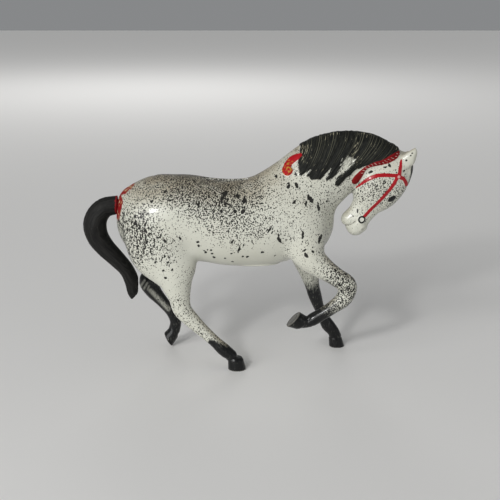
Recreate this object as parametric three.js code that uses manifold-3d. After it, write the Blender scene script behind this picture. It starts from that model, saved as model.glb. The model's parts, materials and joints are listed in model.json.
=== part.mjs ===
// A painted cast-metal coin bank in the shape of a prancing horse, millimetres, +Z up.
// +X points towards the head and +Y towards the horse's left side. The floor is z = 0.
// Two hollow body halves meet on the plane y = 0 and are held by two screws from the left.
// A separately cast tail is clamped between them, and an oval coin trap closes the belly.
import * as THREE from 'three';
import { mergeVertices } from 'three/addons/utils/BufferGeometryUtils.js';
import Module from 'manifold-3d';

const wasm = await Module();
wasm.setup();

// Casting
const WALL = 3.2;
const GAP = 0.3;

// Coin slot along the ridge of the back
const SLOT_CENTRE_X = -17;
const SLOT_LENGTH = 32;
const SLOT_WIDTH = 4.8;

// Coin trap in the belly, all half lengths along X and Y
const TRAP_X = 3;
const TRAP_LAND = [21, 12.2];
const TRAP_RECESS = [17.6, 10.2];
const TRAP_HOLE = [15.6, 8.6];
const TRAP_LAND_Z = 76.2;
const TRAP_SEAT_Z = 78;
const TRAP_RIM_Z = 80.6;

// Lock that holds the trap plate
const BARREL_RADIUS = 3.2;
const BARREL_HEAD_RADIUS = 5.2;
const STUD_RADIUS = 1.8;
const BAR_HALF_LENGTH = 11.2;
const BAR_HALF_WIDTH = 3.5;
const BAR_THICKNESS = 1.5;

// Body screws, given as their place along X and Z and the depth of the head's seat along Y
const SCREWS = [
  { name: 'shoulder_screw', x: 25, z: 112, seat: 21.5 },
  { name: 'rump_screw', x: -57, z: 114, seat: 23.5 },
];
const SCREW_RADIUS = 1.7;
const SCREW_HEAD_RADIUS = 3.9;
const SCREW_TIP_Y = -12;
const POST_RADIUS = 5.2;

// Tail root, a round spigot with a collar that both body halves grip
const TAIL_ROOT_Z = 120.8;
const SPIGOT_RADIUS = 4;
const COLLAR_RADIUS = 6;
const COLLAR_X = [-92.3, -90.3];

// Each run is a list of stations: centre x, y, z, half height across the run, half width.
const TORSO = [
  [-66, 0, 109, 32, 27], [-49, 0, 111, 32, 28], [-31, 0, 109, 31.5, 28], [-11, 0, 107, 32.5, 28.5],
  [9, 0, 108, 33, 28], [25, 0, 111, 32.5, 25.5], [34, 0, 111, 29, 22],
];
const CROUP = [[-65, 0, 124, 18, 15], [-84, 0, 122, 12, 8.5]];
const CHEST = [[41, 0, 107, 21, 18], [43, 0, 101, 17, 16]];
const NECK = [
  [21, 0, 117, 29, 23], [38.6, 0, 130.8, 28, 19], [55.3, 0, 145.6, 25.5, 15.5],
  [71, 0, 153.7, 21, 12.5], [85, 0, 155.7, 17.3, 11], [98, 0, 153, 14, 10],
];
const HEAD = [
  [105, 0, 149, 12.5, 9.5], [101, 0, 141, 17, 11], [96, 0, 133, 16.5, 10.5],
  [89.2, 0, 123.5, 11.5, 8.4], [83.6, 0, 114.8, 9.5, 7.2], [80, 0, 108, 8.4, 7.4],
];
const CHEEK = [[93, 0, 137, 14.5, 12.5], [90, 0, 131, 13, 11.5]];
const NOSE = [[81.3, 0, 105.6, 6.8, 8], [79.6, 0, 104, 6.8, 7.6]];
const CHIN = [[78, 0, 113, 6.2, 5.8], [74.6, 0, 109.8, 6, 6.2]];
const FORELOCK = [
  [113, 0, 156, 4, 4], [116, 0, 151, 4.2, 5], [116.2, 0, 145, 4, 5], [114.6, 0, 139, 3.5, 4.5],
];
const RIGHT_EAR = [
  [113, -5.6, 153, 5, 3.2], [115.3, -6.4, 155.8, 4.6, 3], [117, -6.9, 158.5, 3.6, 2.4],
  [118.4, -7, 160.8, 2.4, 1.7], [119.3, -7, 162.8, 1.1, 1],
];
const LEFT_EAR = [
  [111.5, 5.6, 150.5, 5, 3.2], [113.8, 6.2, 153.3, 4.6, 3], [115.5, 6.5, 155.9, 3.6, 2.4],
  [116.9, 6.6, 158, 2.4, 1.7], [117.8, 6.6, 159.8, 1.1, 1],
];
const RIGHT_FORELEG = [
  [35, -12, 112, 21, 13], [40, -14.5, 96, 15.5, 11.5], [45, -17, 85, 11, 9.5], [54.5, -19, 77, 8.3, 7.3],
  [63.2, -20, 71.2, 7, 6.3], [72.8, -20, 63, 7, 6.2], [70.8, -20, 55, 6.3, 5.6], [62, -20, 47, 4.9, 4.8],
  [53, -20, 41, 4.7, 4.6], [47.5, -20, 37.6, 4.8, 4.8], [42.8, -20, 35, 3.7, 4], [39, -20, 35, 4, 4.3],
];
const LEFT_FORELEG = [
  [35, 12, 110, 21, 13], [40, 15.5, 93, 15, 12], [43.5, 18.3, 78, 11.5, 9], [46.8, 19.7, 64, 8, 7],
  [49.5, 20.3, 52, 5.6, 5.6], [52, 20.8, 43, 5.2, 5], [55.5, 21.6, 33, 4.1, 4.2], [59, 22.5, 25, 4.1, 4.1],
  [62.6, 23.4, 18.2, 5.2, 4.8], [67.4, 24.3, 12, 4.6, 4.4], [69, 24.8, 8, 4.8, 4.8],
];
const RIGHT_THIGH = [[-61, -12, 107, 27, 15], [-65.5, -14, 92, 23.3, 14]];
const RIGHT_HINDLEG = [
  [-65.5, -14, 92, 23.3, 14], [-57.5, -15.5, 80, 19, 12.5], [-54.7, -16.5, 71.5, 13.8, 11],
  [-52.9, -17.2, 62.5, 10.4, 8.8], [-51.2, -18, 54, 7.9, 6.6], [-49.6, -18.7, 46, 7, 5.8],
  [-42.5, -19.8, 37.4, 5.9, 5.2], [-32.6, -21, 27.8, 4.7, 4.5], [-24.4, -22, 20.3, 4.3, 4.5],
  [-18.8, -23, 15.2, 4.9, 5], [-13, -23.5, 10.5, 4.4, 4.7],
];
const LEFT_THIGH = [[-61, 12, 107, 27, 15], [-65, 14, 92, 21, 14]];
const LEFT_HINDLEG = [
  [-65, 14, 92, 21, 14], [-65, 16.5, 78, 13, 11], [-68.5, 19, 66.5, 8, 8], [-78, 20.5, 54.3, 7.4, 6.2],
  [-75.3, 21.5, 47.8, 6.4, 5.4], [-67.9, 22.7, 37.8, 4.7, 4.5], [-60.3, 24, 27, 4.2, 4.3],
  [-58, 24.8, 19.5, 4.4, 4.6], [-59.3, 25.2, 13.3, 4.6, 4.6],
];
const TAIL = [
  [-97, 0, 120.6, 6.8, 5.8], [-107, 0, 118.2, 7.4, 7], [-112.3, 0, 112.7, 8.1, 7.6],
  [-114.7, 0, 105.5, 8.6, 8], [-113.4, 0, 97, 8.2, 8], [-108, 0, 88, 7.3, 7.8], [-99.4, 0, 78.8, 6.3, 7.4],
  [-91.8, 0, 69.6, 5.4, 6.6], [-88.4, 0, 60, 5.3, 5.4], [-88.2, 0, 53, 4, 4], [-88.8, 0, 48.2, 1.2, 1.4],
];

// Each hoof: centre of its sole, the way the sole faces, the way the toe points, sole radius,
// height, how far the hoof leans back and how much it narrows per millimetre of height.
const HOOVES = [
  {
    sole: [-8.6, -23.5, 0], faces: [0, 0, -1], toe: [1, 0, 0],
    radius: 6.8, height: 9.5, lean: 0.15, taper: 0.13,
  },
  {
    sole: [70.3, 24.8, 0], faces: [0, 0, -1], toe: [1, 0, 0],
    radius: 6.1, height: 8.5, lean: 0.2, taper: 0.13,
  },
  {
    sole: [-64.3, 25.2, 5.2], faces: [-0.87, 0, -0.5], toe: [0.5, 0, -0.87],
    radius: 6.2, height: 9, lean: 0.4, taper: 0.13,
  },
  {
    sole: [32.8, -20, 38], faces: [-0.72, 0, 0.69], toe: [-0.69, 0, -0.72],
    radius: 7.3, height: 8.5, lean: 0.35, taper: 0.16,
  },
];

const PAINT = { color: 0xc2c2b4, roughness: 0.35, metalness: 0.1 };
const CHARCOAL = { color: 0x222120, roughness: 0.6, metalness: 0.1 };
const STEEL = { color: 0x8c8f92, roughness: 0.35, metalness: 0.9 };
const TRAP_PAINT = { color: 0x2a2a2b, roughness: 0.45, metalness: 0.3 };
const BRASS = { color: 0xb08d4a, roughness: 0.35, metalness: 0.9 };

// A closed three.js geometry as a solid that can be joined and cut.
function solid(geometry) {
  const bare = geometry.index ? geometry.toNonIndexed() : geometry.clone();
  bare.deleteAttribute('normal');
  bare.deleteAttribute('uv');
  const merged = mergeVertices(bare, 1e-4);
  const corners = [];
  const index = merged.index.array;
  for (let i = 0; i < index.length; i += 3) {
    const [a, b, c] = [index[i], index[i + 1], index[i + 2]];
    if (a !== b && b !== c && c !== a) {
      corners.push(a, b, c);
    }
  }
  return new wasm.Manifold(new wasm.Mesh({
    numProp: 3,
    vertProperties: new Float32Array(merged.attributes.position.array),
    triVerts: new Uint32Array(corners),
  }));
}

function join(solids) {
  return solids.reduce((whole, next) => whole.add(next));
}

function cut(whole, tools) {
  return tools.reduce((rest, tool) => rest.subtract(tool), whole);
}

// A skin over a row of rings, each a list of the same number of points, closed at both ends.
function skin(rings) {
  const sides = rings[0].length;
  const places = [];
  const corners = [];
  const middle = (ring) => {
    const sum = new THREE.Vector3();
    ring.forEach((p) => sum.add(p));
    return sum.divideScalar(ring.length);
  };
  for (const ring of rings) {
    for (const p of ring) {
      places.push(p.x, p.y, p.z);
    }
  }
  for (let i = 0; i + 1 < rings.length; i += 1) {
    for (let k = 0; k < sides; k += 1) {
      const a = i * sides + k;
      const b = i * sides + ((k + 1) % sides);
      corners.push(a, b, b + sides, a, b + sides, a + sides);
    }
  }
  const first = rings.length * sides;
  const last = first + 1;
  const far = (rings.length - 1) * sides;
  for (const end of [middle(rings[0]), middle(rings[rings.length - 1])]) {
    places.push(end.x, end.y, end.z);
  }
  for (let k = 0; k < sides; k += 1) {
    const next = (k + 1) % sides;
    corners.push(first, next, k);
    corners.push(last, far + k, far + next);
  }
  const geometry = new THREE.BufferGeometry();
  geometry.setAttribute('position', new THREE.Float32BufferAttribute(places, 3));
  geometry.setIndex(corners);
  return geometry;
}

// A limb or a body mass: elliptical rings along a smooth curve through the stations.
function limb(stations, { sides = 12, step = 6, grow = 0, start = 'flat', end = 'flat' } = {}) {
  const spine = new THREE.CatmullRomCurve3(
    stations.map(([x, y, z]) => new THREE.Vector3(x, y, z)), false, 'chordal',
  );
  const spans = stations.length - 1;
  const marks = [];
  for (let i = 0; i < spans; i += 1) {
    const from = spine.getPoint(i / spans);
    const pieces = Math.max(1, Math.round(from.distanceTo(spine.getPoint((i + 1) / spans)) / step));
    for (let k = 0; k < pieces; k += 1) {
      marks.push(i + k / pieces);
    }
  }
  marks.push(spans);
  const sections = marks.map((mark) => {
    const i = Math.min(Math.floor(mark), spans - 1);
    const part = mark - i;
    return {
      centre: spine.getPoint(mark / spans),
      tall: THREE.MathUtils.lerp(stations[i][3], stations[i + 1][3], part) + grow,
      wide: THREE.MathUtils.lerp(stations[i][4], stations[i + 1][4], part) + grow,
    };
  });
  sections.forEach((section, i) => {
    const before = sections[Math.max(i - 1, 0)].centre;
    const after = sections[Math.min(i + 1, sections.length - 1)].centre;
    section.run = after.clone().sub(before).normalize();
  });
  const ring = (section, shift, scale) => {
    const sideways = new THREE.Vector3(0, 1, 0);
    sideways.addScaledVector(section.run, -section.run.y).normalize();
    const across = sideways.clone().cross(section.run);
    return Array.from({ length: sides }, (_, k) => {
      const angle = (2 * Math.PI * k) / sides;
      return section.centre.clone()
        .addScaledVector(section.run, shift)
        .addScaledVector(across, section.tall * scale * Math.cos(angle))
        .addScaledVector(sideways, section.wide * scale * Math.sin(angle));
    });
  };
  const dome = (section, way) => [30, 55, 75].map((degrees) => {
    const angle = THREE.MathUtils.degToRad(degrees);
    return ring(section, way * section.tall * Math.sin(angle), Math.cos(angle));
  });
  const rings = sections.map((section) => ring(section, 0, 1));
  if (start === 'round') {
    rings.unshift(...dome(sections[0], -1).reverse());
  }
  if (end === 'round') {
    rings.push(...dome(sections[sections.length - 1], 1));
  }
  return solid(skin(rings));
}

function hoof({ sole, faces, toe, radius, height, lean, taper }) {
  const down = new THREE.Vector3(...faces).normalize();
  const front = new THREE.Vector3(...toe).normalize();
  const sideways = down.clone().cross(front);
  const ring = (level) => Array.from({ length: 16 }, (_, k) => {
    const angle = (2 * Math.PI * k) / 16;
    const reach = radius - taper * level;
    return new THREE.Vector3(...sole)
      .addScaledVector(down, -level)
      .addScaledVector(front, reach * Math.cos(angle) - lean * level)
      .addScaledVector(sideways, (reach / 1.06) * Math.sin(angle));
  });
  return solid(skin([ring(height), ring(height / 2), ring(0)]));
}

function box([x0, x1], [y0, y1], [z0, z1]) {
  const geometry = new THREE.BoxGeometry(x1 - x0, y1 - y0, z1 - z0);
  geometry.translate((x0 + x1) / 2, (y0 + y1) / 2, (z0 + z1) / 2);
  return solid(geometry);
}

// An upright oval block over the trap, from half lengths along X and Y.
function oval([halfX, halfY], z0, z1) {
  const outline = new THREE.Shape();
  outline.absellipse(0, 0, halfX, halfY, 0, 2 * Math.PI, false, 0);
  const options = { depth: z1 - z0, bevelEnabled: false, curveSegments: 10 };
  const geometry = new THREE.ExtrudeGeometry(outline, options);
  geometry.translate(TRAP_X, 0, z0);
  return solid(geometry);
}

// A round piece from its profile of radius and place along the axis.
function turned(profile, axis, sides = 20) {
  const geometry = new THREE.LatheGeometry(profile.map(([r, h]) => new THREE.Vector2(r, h)), sides);
  if (axis === 'x') {
    geometry.rotateZ(-Math.PI / 2);
  }
  if (axis === 'z') {
    geometry.rotateX(Math.PI / 2);
  }
  return geometry;
}

function rod(axis, radius, [low, high], [x, y, z], sides = 20) {
  const geometry = turned([[0, low], [radius, low], [radius, high], [0, high]], axis, sides);
  geometry.translate(x, y, z);
  return solid(geometry);
}

const everything = new THREE.Group();

function node(name, shape, look) {
  const found = shape.getMesh();
  const geometry = new THREE.BufferGeometry();
  geometry.setAttribute('position', new THREE.BufferAttribute(new Float32Array(found.vertProperties), 3));
  geometry.setIndex(new THREE.BufferAttribute(new Uint32Array(found.triVerts), 1));
  geometry.computeVertexNormals();
  const mesh = new THREE.Mesh(geometry, new THREE.MeshStandardMaterial(look));
  mesh.name = name;
  everything.add(mesh);
}

// Outside of the horse
const round = { start: 'round', end: 'round' };
const outside = join([
  limb(TORSO, { sides: 24, step: 14, ...round }),
  limb(CROUP, { sides: 16, step: 10, ...round }),
  limb(CHEST, { sides: 16, step: 6, ...round }),
  limb(NECK, { sides: 18, step: 12, ...round }),
  limb(HEAD, { sides: 14, step: 8, ...round }),
  limb(CHEEK, { sides: 12, ...round }),
  limb(NOSE, { sides: 10, ...round }),
  limb(CHIN, { sides: 10, ...round }),
  limb(FORELOCK, { sides: 8, ...round }),
  limb(RIGHT_EAR, { sides: 8, step: 4, end: 'round' }),
  limb(LEFT_EAR, { sides: 8, step: 4, end: 'round' }),
  limb(RIGHT_FORELEG, { step: 7, start: 'round' }),
  limb(LEFT_FORELEG, { step: 7, start: 'round' }),
  limb(RIGHT_THIGH, { sides: 14, step: 10, ...round }),
  limb(RIGHT_HINDLEG, { step: 7 }),
  limb(LEFT_THIGH, { sides: 14, step: 10, ...round }),
  limb(LEFT_HINDLEG, { step: 7 }),
  ...HOOVES.map(hoof),
]);

// Hollow of the torso and the neck
const neckHollow = NECK.slice(0, 4);
const hollow = join([
  limb(TORSO, { sides: 20, step: 16, grow: -WALL, ...round }),
  limb(neckHollow, { sides: 14, step: 14, grow: -WALL, ...round }),
]);

const posts = SCREWS.map(({ x, z }) => rod('y', POST_RADIUS, [-25, 25], [x, 0, z], 16));
const tailBoss = rod('x', COLLAR_RADIUS + 2, [-94, -86], [0, 0, TAIL_ROOT_Z]);
const trapLand = oval(TRAP_LAND, TRAP_LAND_Z, TRAP_RIM_Z);
const shell = join([cut(outside, [hollow]), trapLand, tailBoss, ...posts]);

const slotX = [SLOT_CENTRE_X - SLOT_LENGTH / 2, SLOT_CENTRE_X + SLOT_LENGTH / 2];
const screwHoles = SCREWS.flatMap(({ x, z, seat }) => [
  rod('y', SCREW_RADIUS + GAP, [SCREW_TIP_Y - 1, seat + 1], [x, 0, z], 12),
  rod('y', SCREW_HEAD_RADIUS + GAP + 0.2, [seat, 40], [x, 0, z], 20),
]);
const casting = cut(shell, [
  box(slotX, [-SLOT_WIDTH / 2, SLOT_WIDTH / 2], [125, 160]),
  oval(TRAP_LAND, 60, TRAP_LAND_Z),
  oval(TRAP_RECESS, 60, TRAP_SEAT_Z),
  oval(TRAP_HOLE, 60, TRAP_RIM_Z + 4),
  rod('z', BAR_HALF_LENGTH + 1.6, [TRAP_RIM_Z, TRAP_RIM_Z + 7], [TRAP_X, 0, 0]),
  ...screwHoles,
  limb(TAIL, { grow: GAP }),
  rod('x', SPIGOT_RADIUS + GAP, [-98, -85], [0, 0, TAIL_ROOT_Z]),
  rod('x', COLLAR_RADIUS + GAP, [COLLAR_X[0] - GAP, COLLAR_X[1] + GAP], [0, 0, TAIL_ROOT_Z]),
  box([-200, 200], [-100, 100], [-50, 0]),
]);
node('right_body_half', casting.intersect(box([-200, 200], [-100, -GAP / 2], [-10, 300])), PAINT);
node('left_body_half', casting.intersect(box([-200, 200], [GAP / 2, 100], [-10, 300])), PAINT);

// Tail
node('tail', join([
  limb(TAIL, { sides: 14, step: 5, end: 'round' }),
  rod('x', SPIGOT_RADIUS, [-98, -87], [0, 0, TAIL_ROOT_Z]),
  rod('x', COLLAR_RADIUS, COLLAR_X, [0, 0, TAIL_ROOT_Z]),
]), CHARCOAL);

// Body screws: a domed head with a slot and a plain shank
for (const { name, x, z, seat } of SCREWS) {
  const under = seat + GAP;
  const profile = [
    [0, SCREW_TIP_Y], [SCREW_RADIUS * 0.6, SCREW_TIP_Y], [SCREW_RADIUS, SCREW_TIP_Y + 1.4],
    [SCREW_RADIUS, under], [SCREW_HEAD_RADIUS, under], [SCREW_HEAD_RADIUS, under + 1.1],
    [SCREW_HEAD_RADIUS * 0.75, under + 2], [0, under + 2.3],
  ];
  const screw = turned(profile, 'y', 18);
  screw.translate(x, 0, z);
  const slot = box([x - 5, x + 5], [under + 1.2, under + 4], [z - 0.5, z + 0.5]);
  node(name, cut(solid(screw), [slot]), STEEL);
}

// Trap plate: a flange in the recess and a plug in the hole, bored for the lock
const plateZ = TRAP_LAND_Z;
const plateFlange = oval([TRAP_RECESS[0] - GAP, TRAP_RECESS[1] - GAP], plateZ, TRAP_SEAT_Z - GAP);
const platePlug = oval([TRAP_HOLE[0] - GAP, TRAP_HOLE[1] - GAP], TRAP_SEAT_Z - GAP - 0.5, TRAP_RIM_Z - GAP);
node('trap_plate', cut(join([plateFlange, platePlug]), [
  rod('z', BARREL_RADIUS + GAP, [plateZ - 1, TRAP_RIM_Z + 1], [TRAP_X, 0, 0]),
]), TRAP_PAINT);

// Lock: a barrel with a key slot, a cross bar on its stud, a washer and a nut
const headTop = plateZ - GAP;
const barZ = TRAP_RIM_Z + GAP;
const washerZ = barZ + BAR_THICKNESS + GAP;
const nutZ = washerZ + 0.8 + GAP;
const barrelProfile = [
  [0, headTop - 1.1], [BARREL_HEAD_RADIUS - 0.4, headTop - 1.1], [BARREL_HEAD_RADIUS, headTop - 0.7],
  [BARREL_HEAD_RADIUS, headTop], [BARREL_RADIUS, headTop], [BARREL_RADIUS, barZ - GAP],
  [STUD_RADIUS, barZ - GAP], [STUD_RADIUS, nutZ + 3.4], [0, nutZ + 3.4],
];
const barrel = turned(barrelProfile, 'z', 24);
barrel.translate(TRAP_X, 0, 0);
node('lock_barrel', cut(solid(barrel), [
  box([TRAP_X - 3, TRAP_X + 3], [-0.7, 0.7], [headTop - 2, headTop + 2.5]),
]), BRASS);
const barX = [TRAP_X - BAR_HALF_LENGTH, TRAP_X + BAR_HALF_LENGTH];
const stud = (low, high) => rod('z', STUD_RADIUS + GAP, [low, high], [TRAP_X, 0, 0], 20);
node('lock_bar', cut(box(barX, [-BAR_HALF_WIDTH, BAR_HALF_WIDTH], [barZ, barZ + BAR_THICKNESS]), [
  stud(barZ - 1, barZ + 3),
]), STEEL);
node('lock_washer', cut(rod('z', 3.9, [washerZ, washerZ + 0.8], [TRAP_X, 0, 0], 24), [
  stud(washerZ - 1, washerZ + 2),
]), STEEL);
node('lock_nut', cut(rod('z', 3.6, [nutZ, nutZ + 2.6], [TRAP_X, 0, 0], 6), [
  stud(nutZ - 1, nutZ + 4),
]), STEEL);

export default everything;
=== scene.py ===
"""A painted cast-metal horse coin bank: the looks around the CAD frame."""

import json
import math

import bmesh
import bpy
import numpy as np
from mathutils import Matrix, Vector


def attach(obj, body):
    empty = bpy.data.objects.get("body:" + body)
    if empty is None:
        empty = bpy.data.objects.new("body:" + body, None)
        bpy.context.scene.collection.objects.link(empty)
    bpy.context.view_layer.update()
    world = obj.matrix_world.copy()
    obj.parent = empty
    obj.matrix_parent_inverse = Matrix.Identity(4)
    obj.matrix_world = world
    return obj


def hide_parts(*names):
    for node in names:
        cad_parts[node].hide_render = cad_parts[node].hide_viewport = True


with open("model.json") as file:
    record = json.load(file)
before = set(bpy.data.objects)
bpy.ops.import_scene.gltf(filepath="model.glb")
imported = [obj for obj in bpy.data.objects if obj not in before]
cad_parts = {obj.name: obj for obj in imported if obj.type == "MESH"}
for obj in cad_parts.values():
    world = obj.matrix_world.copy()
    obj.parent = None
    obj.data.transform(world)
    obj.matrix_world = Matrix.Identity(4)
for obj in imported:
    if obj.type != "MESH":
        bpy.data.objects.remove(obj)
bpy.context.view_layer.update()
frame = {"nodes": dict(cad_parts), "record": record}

# Grid the surfaces are drawn on, millimetres
BODY_CELL = 0.75
TAIL_CELL = 0.6
BODY_BOX = ((-106, -36, -2), (126, 36, 180))
TAIL_BOX = ((-126, -12, 44), (-84, 12, 130))

# Half the gap between the body halves, and the thickness of their walls, millimetres
SEAM = 0.06
WALL = 3.2

# Runs of the horse: centre x, y, z, half height across the run and half width, millimetres
TORSO = [
    (-66, 0, 109, 32, 27), (-49, 0, 111, 32, 28), (-31, 0, 109, 31.5, 28), (-11, 0, 107, 32.5, 28.5),
    (9, 0, 108, 33, 28), (25, 0, 111, 32.5, 25.5), (34, 0, 111, 29, 22),
]
CROUP = [(-65, 0, 124, 18, 15), (-84, 0, 122, 12, 8.5)]
CHEST = [(41, 0, 107, 21, 18), (43, 0, 101, 17, 16)]
NECK = [
    (21, 0, 117, 29, 23), (38.6, 0, 130.8, 28, 19), (55.3, 0, 145.6, 25.5, 15.5),
    (71, 0, 153.7, 21, 12.5), (85, 0, 155.7, 17.3, 11), (98, 0, 153, 14, 10),
]
HEAD = [
    (105, 0, 149, 12.5, 9.5), (101, 0, 141, 17, 11), (96, 0, 133, 16.5, 10.5),
    (89.2, 0, 123.5, 11.5, 8.4), (83.6, 0, 114.8, 9.5, 7.2), (80, 0, 108, 8.4, 7.4),
]
CHEEK = [(93, 0, 137, 14.5, 12.5), (90, 0, 131, 13, 11.5)]
NOSE = [(81.3, 0, 105.6, 6.8, 8), (79.6, 0, 104, 6.8, 7.6)]
CHIN = [(78, 0, 113, 6.2, 5.8), (74.6, 0, 109.8, 6, 6.2)]
FORELOCK = [(113, 0, 156, 4, 4), (116, 0, 151, 4.2, 5), (116.2, 0, 145, 4, 5), (114.6, 0, 139, 3.5, 4.5)]
RIGHT_EAR = [
    (113, -5.6, 153, 5, 3.2), (115.8, -6.4, 155.2, 5.2, 3), (117.9, -6.9, 157.9, 4.1, 2.5),
    (119.4, -7, 160.7, 2.6, 1.8), (120.1, -7, 162.9, 1.1, 1.1),
]
LEFT_EAR = [
    (111.5, 5.6, 150.5, 5, 3.2), (113.9, 6.2, 152.8, 4.6, 3), (115.7, 6.5, 155, 3.6, 2.4),
    (117.1, 6.6, 156.9, 2.4, 1.7), (118, 6.6, 158.6, 1.1, 1),
]
RIGHT_FORELEG = [
    (35, -12, 112, 21, 13), (40, -14.5, 96, 15.5, 11.5), (45, -17, 85, 11, 9.5), (54.5, -19, 77, 8.3, 7.3),
    (63.2, -20, 71.2, 7, 6.3), (72.8, -20, 63, 7, 6.2), (70.8, -20, 55, 6.3, 5.6), (62, -20, 47, 4.9, 4.8),
    (53, -20, 41, 4.7, 4.6), (47.5, -20, 37.6, 4.8, 4.8), (42.8, -20, 35, 3.7, 4), (39, -20, 35, 4, 4.3),
]
LEFT_FORELEG = [
    (35, 12, 110, 21, 13), (40, 15.5, 93, 15, 12), (43.5, 18.3, 78, 11.5, 9), (46.8, 19.7, 64, 8, 7),
    (49.5, 20.3, 52, 5.6, 5.6), (52, 20.8, 43, 5.2, 5), (55.5, 21.6, 33, 4.1, 4.2), (59, 22.5, 25, 4.1, 4.1),
    (62.6, 23.4, 18.2, 5.2, 4.8), (67.4, 24.3, 12, 4.6, 4.4), (69, 24.8, 8, 4.8, 4.8),
]
RIGHT_HINDLEG = [
    (-61, -12, 107, 27, 15), (-65.5, -14, 92, 23.3, 14), (-57.5, -15.5, 80, 19, 12.5),
    (-54.7, -16.5, 71.5, 13.8, 11), (-52.9, -17.2, 62.5, 10.4, 8.8), (-51.2, -18, 54, 7.9, 6.6),
    (-49.6, -18.7, 46, 7, 5.8), (-42.5, -19.8, 37.4, 5.9, 5.2), (-32.6, -21, 27.8, 4.7, 4.5),
    (-24.4, -22, 20.3, 4.3, 4.5), (-18.8, -23, 15.2, 4.9, 5), (-13, -23.5, 10.5, 4.4, 4.7),
]
LEFT_HINDLEG = [
    (-61, 12, 107, 27, 15), (-65, 14, 92, 21, 14), (-65, 16.5, 78, 13, 11), (-68.5, 19, 66.5, 8, 8),
    (-78, 20.5, 54.3, 7.4, 6.2), (-75.3, 21.5, 47.8, 6.4, 5.4), (-67.9, 22.7, 37.8, 4.7, 4.5),
    (-60.3, 24, 27, 4.2, 4.3), (-58, 24.8, 19.5, 4.4, 4.6), (-59.3, 25.2, 13.3, 4.6, 4.6),
]
TAIL = [
    (-97, 0, 120.6, 6.8, 5.8), (-107, 0, 118.2, 7.4, 7), (-112.3, 0, 112.7, 8.1, 7.6),
    (-114.7, 0, 105.5, 8.6, 8), (-113.4, 0, 97, 8.2, 8), (-108, 0, 88, 7.3, 7.8), (-99.4, 0, 78.8, 6.3, 7.4),
    (-91.8, 0, 69.6, 5.4, 6.6), (-88.4, 0, 60, 5.3, 5.4), (-88.2, 0, 53, 4, 4), (-88.8, 0, 48.2, 1.2, 1.4),
]

# Masses in the order they are blended in, with the radius of the blend
MASSES = [
    (TORSO, 0), (CROUP, 8), (CHEST, 8), (NECK, 8), (RIGHT_HINDLEG, 7), (LEFT_HINDLEG, 7),
    (RIGHT_FORELEG, 6), (LEFT_FORELEG, 6), (HEAD, 5), (CHEEK, 4), (NOSE, 3), (CHIN, 2), (FORELOCK, 3),
    (RIGHT_EAR, 3), (LEFT_EAR, 3),
]

# Hooves: sole centre, way the sole faces, way the toe points, radius, height, lean, taper
HOOVES = [
    ((-8.6, -23.5, 0), (0, 0, -1), (1, 0, 0), 6.8, 9.5, 0.15, 0.13),
    ((70.3, 24.8, 0), (0, 0, -1), (1, 0, 0), 6.1, 8.5, 0.2, 0.13),
    ((-64.3, 25.2, 5.2), (-0.87, 0, -0.5), (0.5, 0, -0.87), 6.2, 9, 0.4, 0.13),
    ((32.8, -20, 38), (-0.72, 0, 0.69), (-0.69, 0, -0.72), 7.3, 8.5, 0.35, 0.16),
]

# Coin slot, trap and screws as on the CAD frame
SLOT_X = (-33, -1)
SLOT_HALF_WIDTH = 2.4
TRAP_X = 3
TRAP_LAND = (21, 12.2)
TRAP_RECESS = (17.6, 10.2)
TRAP_HOLE = (15.6, 8.6)
TRAP_LAND_Z = 76.2
TRAP_SEAT_Z = 78
TRAP_RIM_Z = 80.6
BAR_SWEEP = 12.8
SCREWS = [(25, 112, 21.5), (-57, 114, 23.5)]
SCREW_HOLE_RADIUS = 2.0
COUNTERBORE_RADIUS = 4.4
POST_RADIUS = 5.2
TAIL_ROOT = (0, 0, 120.8)

# Painted and raised features, as places along x and z on each side of the horse
CHEEK_STRAP = [(107.2, 142), (105.5, 138.5), (102.7, 134.2), (96.3, 126.4), (92.9, 122.6), (85.5, 113.6)]
POLL_STRAP = [(110.1, 155), (109.8, 150.5), (109, 143.5)]
BROW_STRAP = [(108.8, 143.2), (112.4, 141.7), (114.3, 139), (115.5, 136.5)]
THROAT_STRAP = [
    (107, 144.2), (97.4, 144.7), (93, 144.4), (89.6, 143.2), (86, 141.3), (83.3, 139), (78.5, 134.6),
]
STRAPS = [
    (CHEEK_STRAP, [1.35, 1.4, 1.3, 1.25, 1.25, 1.3]),
    (POLL_STRAP, [0.7, 1.3, 1.5]),
    (BROW_STRAP, [1.5, 1.3, 1.3, 1.3]),
    (THROAT_STRAP, [1.3, 1.4, 1.3, 1.3, 1.2, 1.0, 0.45]),
]
BRAID = [
    (108.2, 160), (106, 158.4), (103, 156.7), (99.6, 155), (96, 153.8), (92, 152.8), (88.5, 151.8),
    (85.6, 150.5), (83.2, 148.4), (81, 145.4), (79, 142.6), (77.3, 140.2),
]
BRAID_HALF = [1.6, 2.3, 2.4, 2.1, 1.8, 1.6, 1.3, 1.2, 1.4, 2.2, 2.8, 2.7]
TASSEL = [(37.3, 159.4), (34.5, 157.6), (31.4, 155.6), (29, 153.4), (27.8, 151.2), (27.8, 149)]
TASSEL_HALF = [1.2, 2.0, 2.3, 2.2, 2.6, 4.0]
RING_CENTRE = (83.3, 110.8)
ROSETTE_CENTRE = (108.8, 143.2)
EYE_CENTRE = (104.7, 126.6)
EYE_HALF = (3.4, 2.0)
EYE_LEAN = 30
EAR_HOLLOWS = [(120.5, -7.4, 157.5), (119, 7, 155)]
FORELOCK_EDGE = ([128.5, 132, 138, 147, 152, 154.5], [-0.5, 1.8, 3.8, 4.7, 4.4, 2.6])
MOUTH_LINE = [(69.5, 104.5), (71.5, 105.2), (74, 106), (76.5, 107.6), (79, 109.6)]
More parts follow.
